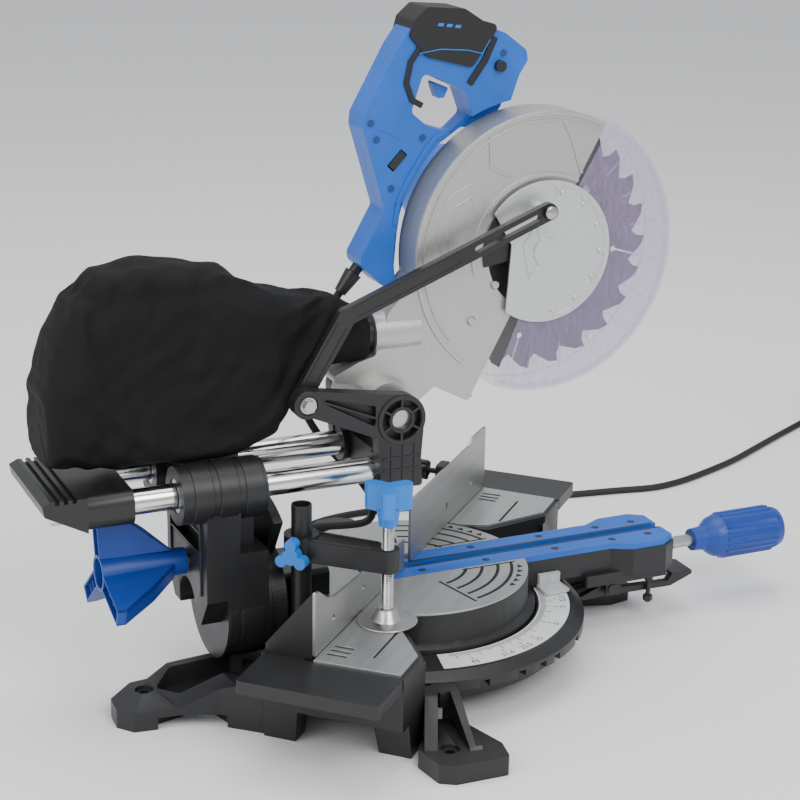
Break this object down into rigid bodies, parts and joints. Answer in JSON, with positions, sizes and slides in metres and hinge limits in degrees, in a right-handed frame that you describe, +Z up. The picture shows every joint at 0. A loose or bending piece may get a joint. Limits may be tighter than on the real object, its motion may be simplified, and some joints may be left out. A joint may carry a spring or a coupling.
{
  "type": "sliding compound mitre saw",
  "caption": "Bench mitre saw with a sliding, tilting and chopping saw head on twin rails, turntable, fence, hold-down clamp and dust bag.",
  "frame": {"origin": "centre of the four bench bolt holes, on the bench", "axes": "+X to the operator's right along the fence, +Y to the rear, +Z up; the saw is stored at 45 degrees right"},
  "size_m": [1.3192, 0.6752, 0.6528],
  "materials": {
    "casting_black": "satin black paint on cast aluminium",
    "brushed": "brushed",
    "fence_steel": "brushed",
    "silver_casting": "speckled silver paint",
    "hub_silver": "satin",
    "blade_steel": "ground, dark",
    "steel": "zinc plated",
    "rail_chrome": "hard chrome",
    "blue_plastic": "moulded",
    "light_blue": "moulded",
    "dark_blue": "moulded",
    "black_plastic": "moulded",
    "grip_rubber": "soft touch",
    "clear_guard": "clear polycarbonate, faint purple",
    "clear_pointer": "clear",
    "scale_print": "printed label",
    "bag_cloth": "woven",
    "cord_rubber": "satin",
    "bronze": "sintered",
    "copper_core": "wound"
  },
  "bodies": {
    "base": {"base_casting": "casting_black", "table_plates": "brushed", "fence_left": "fence_steel", "fence_right": "fence_steel", "fence_brackets": "casting_black", "mitre_scale": "scale_print", "mitre_pivot_bolt": "steel", "clamp_post": "casting_black", "cord_clip": "black_plastic", "held_lead": "cord_rubber", "supply_cord": "cord_rubber", "cord_coil": "cord_rubber", "mains_plug": "black_plastic"},
    "post_lock": {"post_lock_knob": "black_plastic"},
    "clamp_arm": {"clamp_arm": "casting_black"},
    "clamp_arm_knob": {"clamp_arm_knob": "light_blue"},
    "clamp_screw": {"clamp_spindle": "steel", "clamp_knob": "light_blue"},
    "turntable": {"turntable": "casting_black", "turntable_plate": "brushed", "kerf_board": "blue_plastic", "turntable_screws": "steel", "mitre_pointer": "clear_pointer", "bevel_scale": "casting_black"},
    "mitre_lock": {"mitre_lock_rod": "steel", "mitre_grip": "dark_blue"},
    "detent_lever": {"detent_lever": "casting_black"},
    "bevel_arm": {"bevel_arm": "casting_black", "rail_bushes": "bronze", "bevel_hub_bolt": "steel"},
    "bevel_lock": {"bevel_lock_stud": "steel", "bevel_lock_handle": "dark_blue"},
    "carriage": {"slide_rails": "rail_chrome", "rear_cap": "black_plastic", "head_bracket": "casting_black", "bracket_pins": "steel", "return_spring": "steel"},
    "slide_lock": {"slide_lock_knob": "black_plastic"},
    "saw_head": {"upper_guard": "silver_casting", "arbor_cover": "black_plastic", "gear_case": "silver_casting", "handle_shell_near": "blue_plastic", "handle_shell_far": "blue_plastic", "grip_sleeve": "grip_rubber", "motor_housing": "blue_plastic", "field_core": "copper_core", "motor_bearings": "steel", "motor_gland": "black_plastic", "dust_bag": "bag_cloth", "bag_frame": "black_plastic"},
    "armature": {"armature": "copper_core"},
    "blade": {"output_spindle": "steel", "saw_blade": "blade_steel", "arbor_set": "steel"},
    "lower_guard": {"hub_plate": "hub_silver", "clear_guard": "clear_guard"},
    "link_arm": {"link_arm": "black_plastic"},
    "trigger": {"trigger": "blue_plastic"},
    "lock_off": {"lock_off_button": "black_plastic"},
    "light_switch": {"light_switch": "black_plastic"}
  },
  "joints": [
    {"name": "mitre", "type": "hinge", "parent": "base", "child": "turntable", "pos_m": [0, -0.03, 0.094], "axis": [0, 0, 1], "range_deg": [-91, 1]},
    {"name": "mitre_lock", "type": "hinge", "parent": "turntable", "child": "mitre_lock", "pos_m": [0.23334, -0.26334, 0.07], "axis": [-0.7071, 0.7071, 0], "range_deg": [-180, 180]},
    {"name": "detent_release", "type": "hinge", "parent": "turntable", "child": "detent_lever", "pos_m": [0.14425, -0.20253, 0.043], "axis": [0.7071, 0.7071, 0], "range_deg": [0, 4.5]},
    {"name": "bevel", "type": "hinge", "parent": "turntable", "child": "bevel_arm", "pos_m": [-0.13435, 0.10435, 0.094], "axis": [-0.7071, 0.7071, 0], "range_deg": [-8, 0]},
    {"name": "bevel_lock", "type": "hinge", "parent": "bevel_arm", "child": "bevel_lock", "pos_m": [-0.16971, 0.13971, 0.136], "axis": [-0.7071, 0.7071, 0], "range_deg": [0, 60]},
    {"name": "slide", "type": "slide", "parent": "bevel_arm", "child": "carriage", "axis": [-0.7071, 0.7071, 0], "range_m": [-0.043, 0.109]},
    {"name": "slide_lock", "type": "hinge", "parent": "bevel_arm", "child": "slide_lock", "pos_m": [-0.08909, 0.18638, 0.22], "axis": [0.7071, 0.7071, 0], "range_deg": [-180, 180]},
    {"name": "chop", "type": "hinge", "parent": "carriage", "child": "saw_head", "pos_m": [-0.02758, -0.00242, 0.275], "axis": [0.7071, 0.7071, 0], "range_deg": [0, 55], "stiffness_Nm_per_rad": 12, "springref_deg": -68.75, "deforming": ["held_lead", "return_spring"]},
    {"name": "blade_spin", "type": "hinge", "parent": "saw_head", "child": "blade", "pos_m": [0.09192, -0.12192, 0.416], "axis": [0.7071, 0.7071, 0], "continuous": true},
    {"name": "armature_spin", "type": "hinge", "parent": "saw_head", "child": "armature", "pos_m": [0.11172, -0.04273, 0.452], "axis": [0.7071, 0.7071, 0], "continuous": true},
    {"name": "guard_swing", "type": "hinge", "parent": "saw_head", "child": "lower_guard", "pos_m": [0.07212, -0.14172, 0.416], "axis": [0.7071, 0.7071, 0], "range_deg": [-117, 1]},
    {"name": "link_swing", "type": "hinge", "parent": "carriage", "child": "link_arm", "pos_m": [-0.12799, 0.03293, 0.301], "axis": [0.7071, 0.7071, 0], "range_deg": [-1, 48]},
    {"name": "trigger_pull", "type": "slide", "parent": "saw_head", "child": "trigger", "axis": [-0.2971, 0.2971, 0.9074], "range_m": [0, 0.005], "stiffness_N_per_m": 400, "springref_m": -0.001},
    {"name": "lock_off_press", "type": "slide", "parent": "saw_head", "child": "lock_off", "axis": [0.7071, 0.7071, 0], "range_m": [0, 0.004], "stiffness_N_per_m": 100, "springref_m": -0.002},
    {"name": "light_rocker", "type": "hinge", "parent": "saw_head", "child": "light_switch", "pos_m": [-0.00141, -0.01162, 0.509], "axis": [-0.5171, 0.5171, 0.682], "range_deg": [-6, 6]},
    {"name": "clamp_height", "type": "slide", "parent": "base", "child": "clamp_arm", "axis": [0, 0, 1], "range_m": [0, 0.028]},
    {"name": "clamp_arm_lock", "type": "hinge", "parent": "clamp_arm", "child": "clamp_arm_knob", "pos_m": [-0.162, 0.026, 0.157], "axis": [1, 0, 0], "range_deg": [-120, 120]},
    {"name": "clamp_screw", "type": "slide", "parent": "clamp_arm", "child": "clamp_screw", "axis": [0, 0, 1], "range_m": [0, 0.03]},
    {"name": "post_lock", "type": "hinge", "parent": "base", "child": "post_lock", "pos_m": [0.122, -0.001, 0.152], "axis": [0, 1, 0], "range_deg": [-180, 180]}
  ],
  "couplings": [
    {"joint": "guard_swing", "follows": "chop", "ratio": -2.1},
    {"joint": "link_swing", "follows": "chop", "ratio": 0.853},
    {"joint": "armature_spin", "follows": "blade_spin", "ratio": -3.2}
  ]
}
